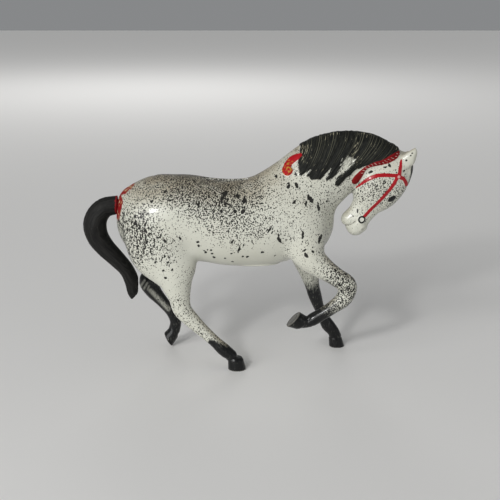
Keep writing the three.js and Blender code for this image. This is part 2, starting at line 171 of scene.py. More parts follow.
MANE_EDGE = [
    (37.3, 164.5), (36.8, 161), (36.4, 158.3), (35.9, 155.5), (35.5, 152), (36.3, 149), (36.5, 145.7),
    (38, 145.3), (44.6, 149.6), (40.6, 144.6), (43, 144.8), (45, 142.2), (47.6, 142.8), (50.6, 142.8),
    (51.6, 142.1), (60.5, 152.5), (54.8, 141.4), (58, 142), (61.5, 144.4), (63.2, 146), (66.6, 151.5),
    (69, 156.5), (72.6, 157.4), (75.8, 155.6), (72.6, 151.4), (69.6, 147.8), (65.2, 145.2), (63, 142.3),
    (61.6, 138), (65, 137.2), (67.5, 139.8), (70.5, 143.5), (73.7, 145), (76.2, 148.4), (79.8, 149.5),
    (83.4, 151), (89, 151.9), (96, 153.8), (103, 156.5), (109, 161.5),
]
MANE_TOP = [(112, 170), (95, 190), (60, 192), (34, 178)]

# Single painted spots: x, z, radius, stretch and lean of the long axis in degrees
SPOTS = [
    (-36.6, 98.7, 1, 1.2, 0), (-36, 95.7, 1, 1.1, 0), (-32.3, 91.5, 0.9, 1, 0), (-31, 89.7, 0.9, 1.2, 20),
    (-29.7, 91.9, 0.8, 1.2, 0), (-27.4, 91.9, 0.9, 1, 0), (-26.5, 89, 0.9, 1.2, 30),
    (-25.3, 85.4, 1.08, 1.3, -50), (-17.2, 84.8, 0.9, 1.3, 0), (-12.6, 89.2, 0.9, 1.2, 0),
    (-11.8, 81.7, 0.9, 1.2, 0), (-4.4, 87.1, 0.8, 1, 0), (-1, 86.6, 1, 1.1, 0), (9.9, 90.3, 1, 1.7, 35),
    (18.9, 86.5, 0.9, 1.2, 40), (-57.9, 84.1, 1.08, 1.2, 0), (-55.3, 78.3, 0.9, 1.2, 0),
    (-62, 77.6, 1, 1.2, 0), (-60.4, 72, 1, 1.3, 0), (-67.5, 84, 1, 1.3, 40), (22.3, 99.8, 1, 3.2, -60),
    (39, 104, 0.8, 6.5, 82), (51.5, 99.6, 1.39, 2.4, 72), (41.5, 89, 1.23, 2.4, -52),
    (44.7, 128.6, 1.55, 1.9, -40), (50.2, 123.2, 1.08, 2.7, -82), (34.5, 138.4, 1.23, 1.8, -60),
    (28.4, 137.6, 1.16, 1.7, 55), (32.9, 127.4, 1.08, 1.4, 80), (41, 126, 1, 1.9, 80),
    (42.8, 130.5, 0.9, 2.2, 85), (-6.9, 93.2, 0.9, 3.6, 74), (46, 92, 0.9, 2.4, -50),
    (40.5, 92.5, 0.7, 2, 40), (56.5, 126, 0.8, 1.6, -70), (-60, 100, 0.9, 2.4, -60),
    (98.6, 150.3, 1, 1.2, 0), (101.8, 151.5, 0.9, 2, -60), (88.6, 146.8, 1, 1.7, 15),
    (114, 155.4, 0.7, 1.3, 60), (116.8, 158.4, 0.6, 1, 0), (117.5, 160.4, 0.7, 1, 0),
    (112.5, 147, 0.8, 1.2, 60), (113.5, 144.6, 0.7, 1, 0), (-3, 128, 1.47, 1.5, 60),
    (-21, 126, 0.8, 2.4, 85), (-4, 121, 1.39, 1.5, 50), (-8, 131, 1.16, 1.6, -30), (-60.4, 134, 0.9, 1, 0),
    (-69.5, 127.5, 0.9, 1.2, 20), (80, 117, 0.7, 2.4, 85), (77, 113, 0.6, 1, 0), (89.5, 112.8, 0.7, 1.2, 0),
    (92, 116.5, 0.5, 1, 0), (-17, 132.5, 1.7, 1.2, 40), (-19, 129.5, 1.39, 1.3, 60),
    (-19.5, 121.3, 1.23, 1.5, 85), (-35.5, 126, 0.9, 2.6, 85), (-9.5, 121, 1.16, 1.2, 0),
    (-16, 126.4, 1.08, 1.3, 30), (-49, 101.5, 0.8, 2.2, -62), (-12, 98.5, 0.8, 2.8, 68),
    (-3.6, 96.2, 0.6, 3.6, 66), (15, 108, 0.8, 3, 66), (17, 106.5, 0.6, 2.8, 66),
    (8.5, 107.5, 0.8, 2.2, -60), (21.5, 103.6, 0.8, 1.6, -50), (29, 140.5, 0.8, 1.4, 60),
    (33.5, 146.5, 0.9, 1.5, -70), (20, 144.3, 1.08, 1, 0), (7, 145.5, 1, 1.4, 40),
]

# Share of the surface under brushed speckle: x, z, share in fine marks, share in coarse marks
SPECKLE = [
    (-84, 132, 0.28, 0), (-60, 146, 0.52, 0), (-45, 146, 0.56, 0), (-30, 145, 0.48, 0), (-15, 143, 0.42, 0),
    (0, 146, 0.26, 0.02), (15, 148, 0.14, 0.02), (30, 148, 0.16, 0.045), (-72, 138, 0.38, 0),
    (-58, 138, 0.5, 0), (-45, 138, 0.58, 0.08), (-32, 137, 0.6, 0.1), (-20, 137, 0.56, 0.12),
    (-8, 137, 0.54, 0.12), (4, 137, 0.42, 0.06), (16, 137, 0.22, 0.05), (28, 140, 0.18, 0.045),
    (40, 138, 0.16, 0.06), (-86, 124, 0.22, 0), (-74, 127, 0.34, 0.06), (-64, 129, 0.28, 0),
    (-54, 131, 0.54, 0.1), (-42, 130, 0.54, 0.08), (-30, 129, 0.54, 0.1), (-18, 128, 0.54, 0.22),
    (-6, 128, 0.5, 0.1), (6, 127, 0.4, 0.06), (18, 128, 0.18, 0.03), (30, 126, 0.17, 0.045),
    (-88, 116, 0.34, 0.3), (-78, 118, 0.4, 0.38), (-68, 117, 0.22, 0.05), (-58, 119, 0.08, 0),
    (-49, 120, 0.28, 0.03), (-38, 121, 0.42, 0.1), (-26, 119, 0.46, 0.12), (-15, 118, 0.48, 0.12),
    (-3, 118, 0.4, 0.12), (9, 116, 0.28, 0.07), (22, 115, 0.13, 0.03), (-88, 107, 0.36, 0.4),
    (-78, 108, 0.44, 0.5), (-69, 106, 0.34, 0.26), (-60, 108, 0.14, 0), (-51, 108, 0.08, 0),
    (-42, 109, 0.05, 0), (-33, 111, 0.24, 0.02), (-22, 109, 0.34, 0.05), (-10, 108, 0.34, 0.08),
    (2, 107, 0.3, 0.08), (14, 106, 0.14, 0.03), (-82, 98, 0.34, 0.3), (-72, 98, 0.36, 0.34),
    (-62, 98, 0.32, 0.1), (-54, 99, 0.26, 0.06), (-45, 99, 0.015, 0), (-34, 101, 0.03, 0),
    (-22, 100, 0.09, 0), (-10, 99, 0.14, 0.01), (2, 99, 0.1, 0.02), (14, 97, 0.03, 0), (-74, 90, 0.28, 0.2),
    (-63, 90, 0.2, 0.03), (-53, 91, 0.22, 0.03), (-44, 88, 0.01, 0), (-20, 88, 0.003, 0), (0, 88, 0.005, 0),
    (-66, 82, 0.1, 0.02), (-54, 82, 0.1, 0.01), (-58, 72, 0.04, 0), (-48, 72, 0.14, 0.02),
    (-45, 64, 0.14, 0.01), (-53, 62, 0.06, 0), (-53, 49, 0.14, 0.14), (-46, 46, 0.2, 0.06),
    (-40, 37, 0.18, 0.04), (-30, 28, 0.26, 0.05), (-20, 18, 0.34, 0.05), (-10, 8, 0.42, 0),
    (30, 104, 0.11, 0.045), (44, 112, 0.11, 0.045), (54, 106, 0.12, 0.045), (36, 94, 0.12, 0.04),
    (46, 96, 0.14, 0.05), (40, 86, 0.08, 0.02), (34, 117, 0.11, 0.045), (44, 126, 0.18, 0.05),
    (56, 124, 0.21, 0.045), (62, 133, 0.18, 0.045), (50, 134, 0.18, 0.045), (47, 82, 0.04, 0),
    (54, 82, 0.3, 0.1), (60, 76, 0.4, 0.2), (68, 72, 0.44, 0.2), (72, 62, 0.46, 0.22), (67, 53, 0.52, 0.14),
    (48, 74, 0.14, 0.02), (91, 136, 0.42, 0.14), (98, 138, 0.38, 0.1), (84, 130, 0.28, 0.02),
    (90, 126, 0.34, 0.06), (100, 130, 0.28, 0.03), (106, 136, 0.32, 0.06), (84, 120, 0.15, 0),
    (92, 118, 0.1, 0), (78, 112, 0.07, 0), (80, 104, 0.06, 0), (98, 149, 0.05, 0), (88, 146, 0.05, 0),
    (112, 145, 0.1, 0.01), (114, 155, 0.03, 0), (45, 65, 0.1, 0),
]
SPECKLE_REACH = 6.5

# Share of slanting dashes: x, z, reach along x, reach along z, share
DASHES = [
    (6, 104, 14, 6, 0.14), (-12, 99, 10, 5, 0.10), (34, 112, 11, 11, 0.03), (20, 113, 12, 9, 0.07),
    (-60, 88, 12, 8, 0.10), (36, 98, 9, 9, 0.03), (-76, 94, 8, 6, 0.08),
]

# Upper edge of the black on the right hind leg: places along x, and heights
HIND_BLACK_EDGE = (
    [-34, -31, -29, -26.5, -20.5, -15.4, -12, -8.7, -5.7, 0],
    [0, 18, 24, 22.7, 20, 18.2, 16.5, 14.5, 12.5, 11],
)

# Pale strokes through the black legs: from, to, half width
PALE_STROKES = [
    ((-84.5, 51.5), (-80.5, 57.5), 0.45), ((-81.5, 50), (-78.5, 55.5), 0.35),
    ((-78.5, 49.5), (-77.3, 53), 0.3), ((-76.5, 49), (-63, 32.5), 1.7),
]

# Chipped red round the root of the tail: lines with their half widths
CHIPPED = [
    ([(-98, 131), (-96.5, 124), (-97, 114)], [2.2, 4.8, 3.0]),
    ([(-97, 129), (-91, 132.5), (-84.5, 136.5)], [2.4, 2.4, 1.0]),
]

# Gentle modelling of the muscles: x, z, reach along x, reach along z, height
MUSCLES = [
    (40, 116, 9, 15, 0.7), (31, 98, 6, 12, -0.6), (47, 93, 7, 6, 0.6), (-44, 92, 6, 9, -0.7),
    (-60, 98, 12, 14, 0.6), (63, 124, 5, 14, -0.6), (54, 118, 5, 10, 0.5), (20, 140, 8, 7, 0.5),
    (-30, 128, 12, 8, 0.3), (93, 131, 7, 8, 0.4), (98, 122, 2.5, 4, -0.5), (101.5, 131.5, 3, 3, -0.5),
    (87, 108.5, 1.6, 2, -0.5),
]


# Paint and metal colours, linear
CREAM = (0.60, 0.605, 0.535)
CREAM_SHADE = (0.51, 0.505, 0.425)
# Painted shade for the surfaces that face up
UPWARD_SHADE_CREAM = (0.30, 0.255, 0.175)
WORN_CREAM = (0.40, 0.37, 0.26)
BLACK = (0.005, 0.0054, 0.0056)
INK = (0.009, 0.0085, 0.008)
INK_THIN = (0.013, 0.012, 0.0105)
EYE_BLACK = (0.006, 0.006, 0.006)
HARNESS_RED = (0.42, 0.008, 0.015)
HARNESS_SHADE = (0.24, 0.005, 0.010)
CORD_RED = (0.24, 0.007, 0.009)
CORD_SHADE = (0.13, 0.005, 0.006)
CORD_FLECK = (0.55, 0.42, 0.36)
ROSETTE_PINK = (0.55, 0.32, 0.30)
WORN_RED = (0.20, 0.008, 0.010)
OCHRE = (0.40, 0.20, 0.035)
MOUTH_SHADE = (0.05, 0.045, 0.035)
MANE_BLACK = (0.006, 0.0065, 0.0062)
MANE_GREY = (0.020, 0.021, 0.018)
MANE_PALE = (0.17, 0.165, 0.115)
TAIL_BLACK = (0.007, 0.007, 0.0067)
TAIL_GREY = (0.019, 0.0185, 0.017)
TAIL_SCUFF = (0.2, 0.19, 0.17)
SOLE_GREY = (0.12, 0.115, 0.10)
SOLE_RING = (0.02, 0.02, 0.018)
BARE_METAL = (0.16, 0.15, 0.14)
BARE_SHADE = (0.09, 0.08, 0.075)
STEEL_GREY = (0.42, 0.42, 0.42)
TRAP_BLACK = (0.035, 0.035, 0.038)
BRASS_YELLOW = (0.55, 0.38, 0.14)
FLOOR_PALE = (0.82, 0.81, 0.79)
SKY = (0.86, 0.88, 0.90)

# Lamps: name, place in metres, radius in metres, watts, whether a gloss shows it
LAMPS = [
    ("key", (-0.5, -1.0, 0.62), 0.07, 16.5, True),
    ("fill", (0.9, -0.6, 0.3), 0.3, 1.8, True),
    ("back", (-0.3, 2.2, 1.1), 0.5, 32, False),
]


def smooth_min(a, b, reach):
    """The smaller of two distances, blended where they are nearly equal."""
    if reach <= 0:
        return np.minimum(a, b)
    near = np.clip(reach - np.abs(a - b), 0, None) / reach
    return np.minimum(a, b) - near ** 3 * reach / 6


def smooth_max(a, b, reach):
    return -smooth_min(-a, -b, reach)


def ramp(value, low, high):
    """0 at low, 1 at high, smooth between. Low may be above high."""
    t = np.clip((value - low) / (high - low), 0, 1)
    return t * t * (3 - 2 * t)


def resample(stations, step=3.0):
    """Stations along a smooth curve through the given ones, a few millimetres apart."""
    points = np.array(stations, float)
    gaps = np.linalg.norm(np.diff(points[:, :3], axis=0), axis=1)
    slopes = np.diff(points, axis=0) / gaps[:, None]
    tangents = np.empty_like(points)
    tangents[0], tangents[-1] = slopes[0], slopes[-1]
    for i in range(1, len(points) - 1):
        before, after = gaps[i - 1], gaps[i]
        tangents[i] = (slopes[i - 1] * after + slopes[i] * before) / (before + after)
    out = [points[0]]
    for i, gap in enumerate(gaps):
        pieces = max(1, math.ceil(gap / step))
        for t in np.arange(1, pieces + 1) / pieces:
            out.append(
                (2 * t ** 3 - 3 * t ** 2 + 1) * points[i]
                + (t ** 3 - 2 * t ** 2 + t) * gap * tangents[i]
                + (3 * t ** 2 - 2 * t ** 3) * points[i + 1]
                + (t ** 3 - t ** 2) * gap * tangents[i + 1]
            )
    return np.array(out)


class Field:
    """Distances to a solid's surface on a grid, negative inside."""

    def __init__(self, low, high, cell):
        self.low = np.array(low, float)
        self.cell = cell
        self.size = np.ceil((np.array(high) - self.low) / cell).astype(int) + 1
        self.values = np.full(self.size, 60.0, np.float32)

    def window(self, low, high):
        """The part of the grid inside a box, and its x, y and z."""
        first = np.clip(np.floor((np.array(low) - self.low) / self.cell).astype(int), 0, self.size)
        last = np.clip(np.ceil((np.array(high) - self.low) / self.cell).astype(int) + 1, 0, self.size)
        where = tuple(slice(a, b) for a, b in zip(first, last))
        axes = [self.low[k] + self.cell * np.arange(first[k], last[k]) for k in range(3)]
        return where, np.meshgrid(*axes, indexing="ij", sparse=True)

    def join(self, low, high, distance, reach=0):
        """Adds a solid inside a box, blended over a reach."""
        where, axes = self.window(low, high)
        self.values[where] = smooth_min(self.values[where], distance(*axes), reach)

    def cut(self, low, high, distance, reach=0):
        """Takes a solid away inside a box."""
        where, axes = self.window(low, high)
        self.values[where] = smooth_max(self.values[where], -distance(*axes), reach)

    def limb(self, stations, reach, grow=0.0):
        """Blends in an elliptical run through the stations."""
        run = resample(stations)
        run[:, 3:] += grow
        spare = reach + 3
        room = np.array([run[:, 3].max(), run[:, 4].max(), run[:, 3].max()]) + spare
        where, axes = self.window(run[:, :3].min(0) - room, run[:, :3].max(0) + room)
        nearest = np.full([part.stop - part.start for part in where], 60.0, np.float32)
        for a, b in zip(run[:-1], run[1:]):
            room = np.array([max(a[3], b[3]), max(a[4], b[4]), max(a[3], b[3])]) + spare
            part, (x, y, z) = self.window(np.minimum(a, b)[:3] - room, np.maximum(a, b)[:3] + room)
            inner = tuple(slice(p.start - w.start, p.stop - w.start) for p, w in zip(part, where))
            along = b[:3] - a[:3]
            t = (x - a[0]) * along[0] + (y - a[1]) * along[1] + (z - a[2]) * along[2]
            t = np.clip(t / (along @ along), 0, 1)
            tall = a[3] + t * (b[3] - a[3])
            flat = tall / (a[4] + t * (b[4] - a[4]))
            dx = x - a[0] - t * along[0]
            dy = (y - a[1] - t * along[1]) * flat
            dz = z - a[2] - t * along[2]
            upright = dx * dx + dz * dz
            length = np.sqrt(upright + dy * dy)
            steepness = np.sqrt(upright + (dy * flat) ** 2)
            distance = (length - tall) * length / np.maximum(steepness, 1e-6)
            nearest[inner] = np.minimum(nearest[inner], distance)
        self.values[where] = smooth_min(self.values[where], nearest, reach)

    def sample(self, points):
        """Distance and its slope at any points, from the grid around each."""
        place = (points - self.low) / self.cell
        corner = np.clip(np.floor(place).astype(int), 0, self.size - 2)
        part = place - corner
        value = np.zeros(len(points))
        slope = np.zeros((len(points), 3))
        for offset in np.ndindex(2, 2, 2):
            step = np.array(offset)
            weights = np.where(step, part, 1 - part)
            at = self.values[tuple((corner + step).T)]
            value += at * weights.prod(1)
            for k in range(3):
                others = [j for j in range(3) if j != k]
                slope[:, k] += at * weights[:, others].prod(1) * (1 if step[k] else -1)
        return value, slope / self.cell

    def surface(self):
        """A quad mesh over the zero level, one vertex in each crossed cell."""
        values = self.values
        inside = values < 0
        cells = tuple(n - 1 for n in values.shape)
        count = np.zeros(cells, np.int8)
        total = np.zeros((*cells, 3), np.float32)
        for axis in range(3):
            others = [k for k in range(3) if k != axis]
            for corner in np.ndindex(2, 2):
                start = [0, 0, 0]
                start[others[0]], start[others[1]] = corner
                end = list(start)
                end[axis] = 1
                first = tuple(slice(s, n - 1 + s) for s, n in zip(start, values.shape))
                last = tuple(slice(s, n - 1 + s) for s, n in zip(end, values.shape))
                a, b = values[first], values[last]
                crossed = inside[first] != inside[last]
                part = np.where(crossed, a / np.where(a == b, 1, a - b), 0)
                count += crossed
                for k in range(3):
                    total[..., k] += part if k == axis else crossed * start[k]
        used = count > 0
        number = np.full(used.shape, -1)
        number[used] = np.arange(used.sum())
        points = (np.argwhere(used) + total[used] / count[used][:, None]) * self.cell + self.low
        faces = []
        for axis in range(3):
            others = [k for k in range(3) if k != axis]
            here = [slice(None)] * 3
            there = [slice(None)] * 3
            here[axis], there[axis] = slice(0, -1), slice(1, None)
            edges = np.argwhere(inside[tuple(here)] != inside[tuple(there)])
            for k in others:
                edges = edges[(edges[:, k] > 0) & (edges[:, k] < values.shape[k] - 1)]
            leaving = inside[tuple(edges.T)]
            corners = []
            for back in ((0, 0), (1, 0), (1, 1), (0, 1)):
                cell = edges.copy()
                cell[:, others[0]] -= back[0]
                cell[:, others[1]] -= back[1]
                corners.append(number[tuple(cell.T)])
            quads = np.stack(corners, 1)
            turn = ~leaving if axis != 1 else leaving
            quads[turn] = quads[turn][:, ::-1]
            faces.append(quads)
        return points, np.concatenate(faces)

    def settle(self, points, rounds=3):
        """Moves points onto the zero level and gives the outward directions there."""
        for _ in range(rounds):
            value, slope = self.sample(points)
            points = points - slope * (value / np.maximum((slope ** 2).sum(1), 0.05))[:, None]
        slope = self.sample(points)[1]
        return points, slope / np.maximum(np.linalg.norm(slope, axis=1), 1e-6)[:, None]


def hoof_distance(sole, faces, toe, radius, height, lean, taper):
    """A hoof that narrows upwards from its flat sole and leans from the toe."""
    down = np.array(faces, float) / np.linalg.norm(faces)
    front = np.array(toe, float) / np.linalg.norm(toe)
    side = np.cross(down, front)

    def distance(x, y, z):
        offset = (x - sole[0], y - sole[1], z - sole[2])
        level = -sum(o * d for o, d in zip(offset, down))
        ahead = sum(o * d for o, d in zip(offset, front)) + level * lean
        across = sum(o * d for o, d in zip(offset, side)) * 1.06
        shell = np.sqrt(ahead ** 2 + across ** 2) - (radius - level * taper)
        return smooth_max(smooth_max(shell, -level, 0.5), level - height, 1.5)

    return distance


def oval_distance(half, low, high):
    """An upright oval block over the trap."""
    def distance(x, y, z):
        shell = (np.sqrt(((x - TRAP_X) / half[0]) ** 2 + (y / half[1]) ** 2) - 1) * half[1]
        return np.maximum(shell, np.maximum(low - z, z - high))

    return distance


def rod_distance(axis, radius, low, high, centre):
    """A round rod along one axis through a centre."""
    def distance(*place):
        across = sum((place[k] - centre[k]) ** 2 for k in range(3) if k != axis)
        return np.maximum(np.sqrt(across) - radius, np.maximum(low - place[axis], place[axis] - high))

    return distance


def slot_distance(x, y, z):
    """The coin slot, open at both ends."""
    middle = sum(SLOT_X) / 2
    half = (SLOT_X[1] - SLOT_X[0]) / 2
    return np.maximum(np.abs(x - middle) - half, np.abs(y) - SLOT_HALF_WIDTH) + 0 * z


def outside_field():
    """The whole horse without its tail, as a solid form."""
    field = Field(*BODY_BOX, BODY_CELL)
    for stations, reach in MASSES:
        field.limb(stations, reach)
    for facts in HOOVES:
        centre = np.array(facts[0], float)
        room = facts[3] + facts[4] + 4
        field.join(centre - room, centre + room, hoof_distance(*facts), 1)
    return field


def casting_field(outside):
    """The two halves together: a hollow shell with its slot, trap, posts and sockets."""
    hollow = Field(*BODY_BOX, BODY_CELL)
    hollow.limb(TORSO, 0, -WALL)
    hollow.limb(NECK[:4], 3, -WALL)
    casting = Field(*BODY_BOX, BODY_CELL)
    casting.values = np.maximum(outside.values, -hollow.values)
    casting.join((-20, -14, 74), (26, 14, 84), oval_distance(TRAP_LAND, TRAP_LAND_Z, TRAP_RIM_Z))
    for x, z, _ in SCREWS:
        post = rod_distance(1, POST_RADIUS, -25, 25, (x, 0, z))
        casting.join((x - 7, -27, z - 7), (x + 7, 27, z + 7), post)
    casting.join((-96, -10, 110), (-84, 10, 131), rod_distance(0, 8, -94, -86, TAIL_ROOT))
    casting.cut((SLOT_X[0] - 2, -5, 125), (SLOT_X[1] + 2, 5, 150), slot_distance, 0.8)
    casting.cut((-20, -14, 70), (26, 14, 78), oval_distance(TRAP_LAND, 60, TRAP_LAND_Z))
    casting.cut((-20, -14, 70), (26, 14, 80), oval_distance(TRAP_RECESS, 60, TRAP_SEAT_Z))
    casting.cut((-20, -14, 70), (26, 14, 86), oval_distance(TRAP_HOLE, 60, TRAP_RIM_Z + 4))
    sweep = rod_distance(2, BAR_SWEEP, TRAP_RIM_Z, TRAP_RIM_Z + 7, (TRAP_X, 0, 0))
    casting.cut((-12, -14, 79), (18, 14, 89), sweep)
    for x, z, seat in SCREWS:
        shank = rod_distance(1, SCREW_HOLE_RADIUS, -13, seat + 1, (x, 0, z))
        casting.cut((x - 4, -15, z - 4), (x + 4, seat + 3, z + 4), shank)
        counterbore = rod_distance(1, COUNTERBORE_RADIUS, seat, 40, (x, 0, z))
        casting.cut((x - 7, seat - 2, z - 7), (x + 7, 36, z + 7), counterbore, 0.8)
    casting.cut((-106, -6, 112), (-84, 6, 130), rod_distance(0, 4.3, -105, -85, TAIL_ROOT))
    casting.cut((-95, -9, 110), (-88, 9, 131), rod_distance(0, 6.3, -92.6, -90, TAIL_ROOT))
    socket = Field(*BODY_BOX, BODY_CELL)
    socket.limb(TAIL, 0, 0.3)
    where, axes = casting.window((-106, -12, 108), (-88, 12, 134))
    plug = np.maximum(socket.values[where], axes[0] + 96.9)
    casting.values[where] = np.maximum(casting.values[where], -plug)
    return casting


def near_line(line, x, z, widths=None):
    """Distance to a painted line, less its half width, with the place along and across it."""
    best = np.full(len(x), 99.0)
    along = np.zeros(len(x))
    across = np.zeros(len(x))
    travelled = 0.0
    for i in range(len(line) - 1):
        a, b = np.array(line[i], float), np.array(line[i + 1], float)
        run = b - a
        length = np.linalg.norm(run)
        t = np.clip(((x - a[0]) * run[0] + (z - a[1]) * run[1]) / length ** 2, 0, 1)
        dx, dz = x - a[0] - t * run[0], z - a[1] - t * run[1]
        half = 0.0 if widths is None else widths[i] + t * (widths[i + 1] - widths[i])
        gap = np.hypot(dx, dz) - half
        closer = gap < best
        best = np.where(closer, gap, best)
        along = np.where(closer, travelled + t * length, along)
        side = (run[0] * dz - run[1] * dx) / length
        across = np.where(closer, side, across)
        travelled += length
    return best, along, across


def nearest_line(table, x, z):
    """Distance to the nearest of several lines, each with its half widths."""
    return np.minimum.reduce([near_line(line, x, z, widths)[0] for line, widths in table])


def near_region(outline, x, z):
    """Signed distance to a closed outline, negative inside."""
    gap = near_line(outline + outline[:1], x, z)[0]
    inside = np.zeros(len(x), bool)
    for (ax, az), (bx, bz) in zip(outline, outline[1:] + outline[:1]):
        spans = (az > z) != (bz > z)
        cross = (bx - ax) * (z - az) / (bz - az if bz != az else 1) + ax
        inside ^= spans & (x < cross)
    return np.where(inside, -gap, gap)


def spread(table, x, z):
    """Density or height from a table of soft round patches."""
    total = np.zeros(len(x))
    for cx, cz, reach_x, reach_z, amount in table:
        total += amount * np.exp(-((x - cx) / reach_x) ** 2 - ((z - cz) / reach_z) ** 2)
    return total


def wander(value, seed):
    """A smooth random wave of one variable, between -1 and 1."""
    levels = np.random.default_rng(seed).uniform(-1, 1, 512)
    cell = np.floor(value).astype(int)
    t = ramp(value - cell, 0, 1)
    return levels[cell % 512] * (1 - t) + levels[(cell + 1) % 512] * t


def strand_place(x, z):
    """Place across and along the mane's strands, which rise from the neck and stand up at the crest."""
    rise = np.clip(z - 142, -10, 36)
    sweep = rise - 0.0132 * rise ** 2
    return x - (0.8 + 0.016 * np.clip(x - 60, 0, None)) * sweep, rise * 1.2


def leaning(x, z, middle_x, middle_z, lean):
    """Places along and across an axis through a middle, rising towards the head by some degrees."""
    turn = math.radians(lean)
    dx, dz = x - middle_x, z - middle_z
    return dx * math.cos(turn) + dz * math.sin(turn), dz * math.cos(turn) - dx * math.sin(turn)


def features(points):
    """Distances to every painted or raised feature at points on the body."""
    x, y, z = points.T
    across, along = strand_place(x, z)
    ragged = 0.9 * wander(across / 0.9, 3) + 0.4 * wander(across / 0.45 + 0.2 * along, 5)
    mane = near_region(MANE_EDGE + MANE_TOP, x, z) + ragged * 0.35
    braid = near_line(BRAID, x, z, BRAID_HALF)
    tassel = near_line(TASSEL, x, z, TASSEL_HALF)
    longways, crossways = leaning(x, z, *EYE_CENTRE, EYE_LEAN)
    eye = (np.hypot(longways / EYE_HALF[0], crossways / EYE_HALF[1]) - 1) * EYE_HALF[1]
    forelock_half = np.interp(z, *FORELOCK_EDGE)
    forelock = np.maximum.reduce([np.abs(y) - forelock_half, 129 - z, z - 154, 108 - x])
    forelock += 0.35 * wander(y / 0.9, 8) * ramp(z, 142, 134)
    on_head = {
        "straps": nearest_line(STRAPS, x, z),
        "mouth": near_line(MOUTH_LINE, x, z)[0],
        "eye": eye,
        "ring": np.hypot(x - RING_CENTRE[0], z - RING_CENTRE[1]),
        "rosette": np.hypot(x - ROSETTE_CENTRE[0], z - ROSETTE_CENTRE[1]),
    }
    return {
        "mane": mane,
        "torn": 3.0 + 30 * np.exp(-((x - 71) / 5) ** 2 - ((z - 155) / 4) ** 2),
        "strand_across": across,
        "strand_along": along,
        "braid": braid[0],
        "braid_along": braid[1],
        "braid_across": braid[2],
        "tassel": tassel[0],
        "tassel_along": tassel[1],
        "forelock": forelock,
        **{name: np.where(x > 68, distance, 9) for name, distance in on_head.items()},
    }


def dome(radius):
    return np.sqrt(np.clip(1 - radius ** 2, 0, 1))


def relief(points, f):
    """How far the surface stands proud of the plain body, millimetres."""
    x, y, z = points.T
    height = spread(MUSCLES, x, z)
    strands = 0.5 * wander(f["strand_across"] / 1.5 + 0.4 * wander(f["strand_along"] / 9, 11), 12)
    strands += 0.25 * wander(f["strand_across"] / 0.75, 13)
    crest = ramp(np.abs(y), 1.0, 4.0)
    height += ramp(f["mane"], 0.6, -0.8) * (0.7 + strands * (0.35 + 0.65 * crest))
    cord = dome(np.clip(f["braid"] + 2, 0, None) / 2)
    twist = np.sin(2 * np.pi * (f["braid_along"] / 2.8 + f["braid_across"] / 4.5))
    plaited = ramp(f["braid_along"], 33, 29)
    height = np.where(f["braid"] < 0, height + cord * (0.9 + 0.25 * twist * plaited), height)
    ball = dome(np.clip(f["tassel"] + 3, 0, None) / 3)
    height = np.where(f["tassel"] < 0, height + ball * (0.7 + 0.8 * ramp(f["tassel_along"], 9, 13)), height)
    height += 0.3 * ramp(f["straps"], 0.5, -0.4)
    height += 0.5 * np.clip(1 - ((f["ring"] - 2.2) / 0.9) ** 2, 0, 1)
    height += 0.5 * dome(f["rosette"] / 1.6)
    height += 0.7 * np.sqrt(np.clip(-f["eye"] / EYE_HALF[1], 0, 1))
    height += 0.4 * np.exp(-((f["eye"] - 1.1) / 0.6) ** 2)
    height -= 0.8 * np.exp(-(f["mouth"] / 0.75) ** 2)
    nostril = np.hypot((x - 85) / 1.3, (z - 103.2) / 1.1)
    height += np.where(x > 68, 0.4 * np.exp(-((nostril - 1.5) / 0.5) ** 2) - 0.9 * np.exp(-nostril ** 2), 0)
    for ex, ey, ez in EAR_HOLLOWS:
        hollow = np.sqrt(((x - ex) / 1.7) ** 2 + ((y - ey) / 1.5) ** 2 + ((z - ez) / 3.6) ** 2)
        height -= 1.0 * np.exp(-hollow ** 2)
    return height + hoof_relief(points)


def hoof_place(points, facts):
    """Level above a hoof's sole and distance from the middle of the sole."""
    offset = points - np.array(facts[0], float)
    level = -(offset @ (np.array(facts[1]) / np.linalg.norm(facts[1])))
    return level, np.linalg.norm(offset, axis=1)


def hoof_relief(points):
    """A coronet groove round the top of each hoof and a ring cut in the raised soles."""
    height = np.zeros(len(points))
    for facts in HOOVES:
        level, radius = hoof_place(points, facts)
        near = radius < facts[3] + 6
        groove = 0.4 * np.exp(-((level - facts[4] + 0.6) / 0.6) ** 2)
        ring = 0.4 * np.exp(-((radius - 0.68 * facts[3]) / 0.55) ** 2) * (level < 0.3)
        height -= np.where(near, groove + ring, 0)
    return height


def leg_black(points):
    """How black the airbrushed legs are, 0 to 1."""
    x, y, z = points.T
    right, left = y < -6, y > 6
    edge = np.interp(x, *HIND_BLACK_EDGE)
    hind_right = np.where(right & (x < 5) & (z < 30), ramp(z - edge, 3.2, -1.6), 0)
    slant = ((x - 60) * 5 + (z - 44.5) * 9) / 10.3
    fore_right = np.where(right & (x > 20) & (z < 60), ramp(slant, 15, -9), 0)
    fore_left = np.where(left & (x > 20) & (z < 90), 0.42 * ramp(z, 86, 58) + 0.58 * ramp(z, 60, 43), 0)
    hind_left = np.where(left & (x < -20) & (z < 75), 0.97 * ramp(z, 72, 63), 0)
    level, radius = hoof_place(points, HOOVES[0])
    hoof = np.where(radius < 12, 0.75 * ramp(level, 9.5, 8), 0)
    return np.maximum.reduce([hind_right, fore_right, fore_left, hind_left, hoof])


def pale_strokes(points):
    """How much the black is wiped away by pale strokes, 0 to 1."""
    x, y, z = points.T
    strength = np.zeros(len(points))
    for start, end, half in PALE_STROKES:
        gap = near_line([start, end], x, z)[0]
        strength = np.maximum(strength, ramp(gap, half + 0.9, half * 0.4))
    return strength * (y > 6)


def spot_distance(x, z):
    """Distance to the edge of the nearest single spot."""
    best = np.full(len(x), 9.0)
    for cx, cz, radius, stretch, lean in SPOTS:
        longways, crossways = leaning(x, z, cx, cz, lean)
        best = np.minimum(best, np.hypot(longways / stretch, crossways) - radius)
    return best


